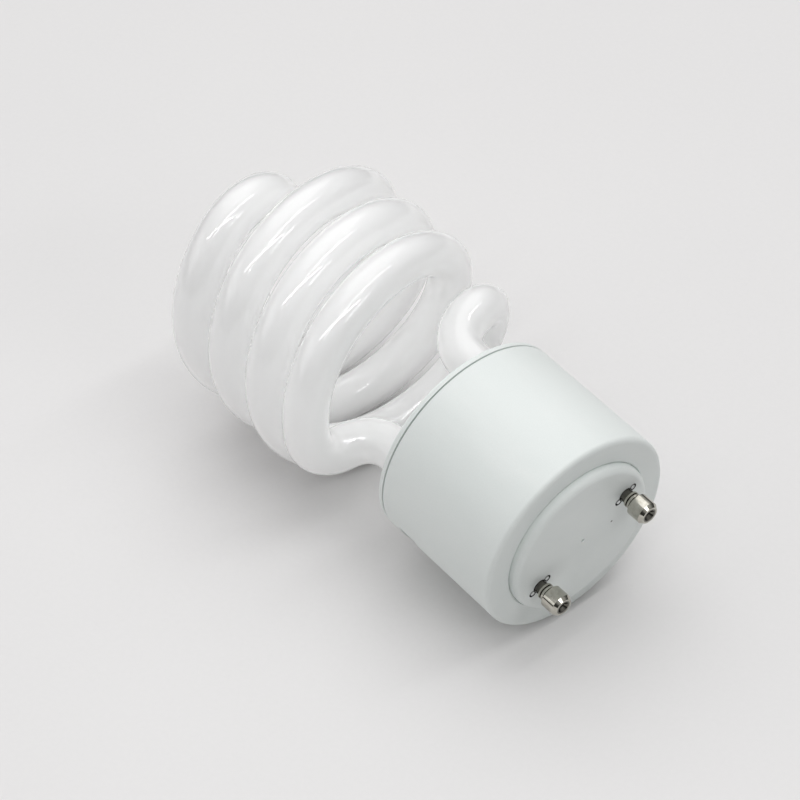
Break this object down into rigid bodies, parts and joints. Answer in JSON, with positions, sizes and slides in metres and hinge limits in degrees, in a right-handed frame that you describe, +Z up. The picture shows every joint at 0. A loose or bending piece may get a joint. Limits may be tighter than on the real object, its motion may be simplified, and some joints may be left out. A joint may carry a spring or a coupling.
{
  "type": "spiral energy saving bulb",
  "caption": "Compact fluorescent lamp: a coated glass tube wound in a double spiral on a round white ballast housing, with a twist-lock base of headed contact pins.",
  "frame": {"origin": "on the table under the middle of the lamp as it lies at rest", "axes": "+X along the lamp towards the contact pins, +Y across it, +Z up; the lamp axis rises 5.5 degrees towards the glass, in -X"},
  "size_m": [0.1092, 0.0558, 0.0579],
  "materials": {
    "housing": "satin",
    "coated_glass": "gloss",
    "cement": "matte",
    "pin_metal": "satin",
    "board": "matte",
    "ferrite": "matte",
    "bobbin": "matte",
    "copper_wire": "gloss",
    "can": "satin",
    "film_dip": "gloss",
    "black_epoxy": "matte",
    "diode_glass": "gloss",
    "fuse_coat": "satin",
    "resistor_coat": "satin",
    "thermistor_coat": "satin",
    "lead_wire": "satin",
    "post_metal": "satin",
    "wire_cover": "satin"
  },
  "bodies": {
    "root": {"lower_housing": "housing", "top_cover": "housing", "spiral_tube": "coated_glass", "tube_cement_1": "cement", "tube_cement_2": "cement", "contact_pin_1": "pin_metal", "contact_pin_2": "pin_metal", "ballast_board": "board", "choke_core": "ferrite", "choke_bobbin": "bobbin", "choke_winding": "copper_wire", "smoothing_capacitor": "can", "resonance_capacitor": "film_dip", "film_capacitors": "film_dip", "toroid_core": "ferrite", "toroid_windings": "copper_wire", "transistor_1": "black_epoxy", "transistor_2": "black_epoxy", "rectifier_diodes": "black_epoxy", "diac": "diode_glass", "fuse_resistor": "fuse_coat", "resistors": "resistor_coat", "filter_coil_core": "ferrite", "filter_coil_winding": "copper_wire", "thermistor": "thermistor_coat", "lamp_lead_1": "lead_wire", "lamp_lead_2": "lead_wire", "lamp_lead_3": "lead_wire", "lamp_lead_4": "lead_wire", "wrap_posts": "post_metal", "feed_wire_1": "wire_cover", "feed_wire_2": "wire_cover"}
  },
  "joints": []
}
